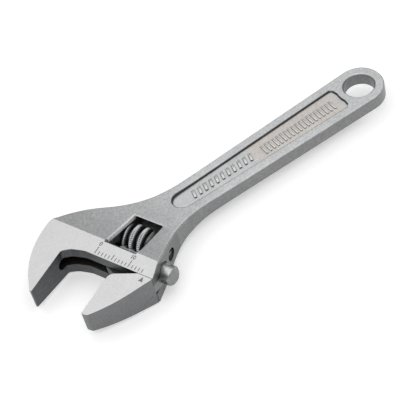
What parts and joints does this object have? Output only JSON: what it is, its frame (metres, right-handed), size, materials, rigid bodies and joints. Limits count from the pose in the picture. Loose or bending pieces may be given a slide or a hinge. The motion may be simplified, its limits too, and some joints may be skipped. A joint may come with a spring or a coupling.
{
  "type": "adjustable wrench",
  "caption": "Small adjustable wrench with a ground fixed jaw and a sliding jaw on a round toothed rod, driven by a thumb worm in the head, with a hanging hole in the handle.",
  "frame": {"origin": "centre of the hanging hole at mid thickness of the handle", "axes": "+X along the handle, away from the jaws; +Z along the hanging hole, square to the flat of the handle; +Y towards the fixed jaw's side"},
  "size_m": [0.1059, 0.0335, 0.0098],
  "materials": {
    "body_plate": "satin chrome plate, jaw flats ground bright",
    "jaw_steel": "satin chrome plate, flats ground bright",
    "worm_steel": "turned, with a fine knurl on the thread",
    "pin_steel": "dark turned steel",
    "spring_wire": "plain spring wire"
  },
  "bodies": {
    "body": {"wrench_body": "body_plate", "worm_pin": "pin_steel", "worm_spring": "spring_wire"},
    "jaw": {"sliding_jaw": "jaw_steel"},
    "worm": {"worm": "worm_steel"}
  },
  "joints": [
    {"name": "jaw_slide", "type": "slide", "parent": "body", "child": "jaw", "axis": [0.3746, -0.9272, 0], "range_m": [-0.01518, 0.0008]},
    {"name": "worm_spin", "type": "hinge", "parent": "body", "child": "worm", "pos_m": [-0.06993, -0.00236, 0], "axis": [0.3746, -0.9272, 0], "range_deg": [-121, 2278]}
  ],
  "couplings": [
    {"joint": "worm_spin", "follows": "jaw_slide", "rad_per_m": -2618}
  ]
}
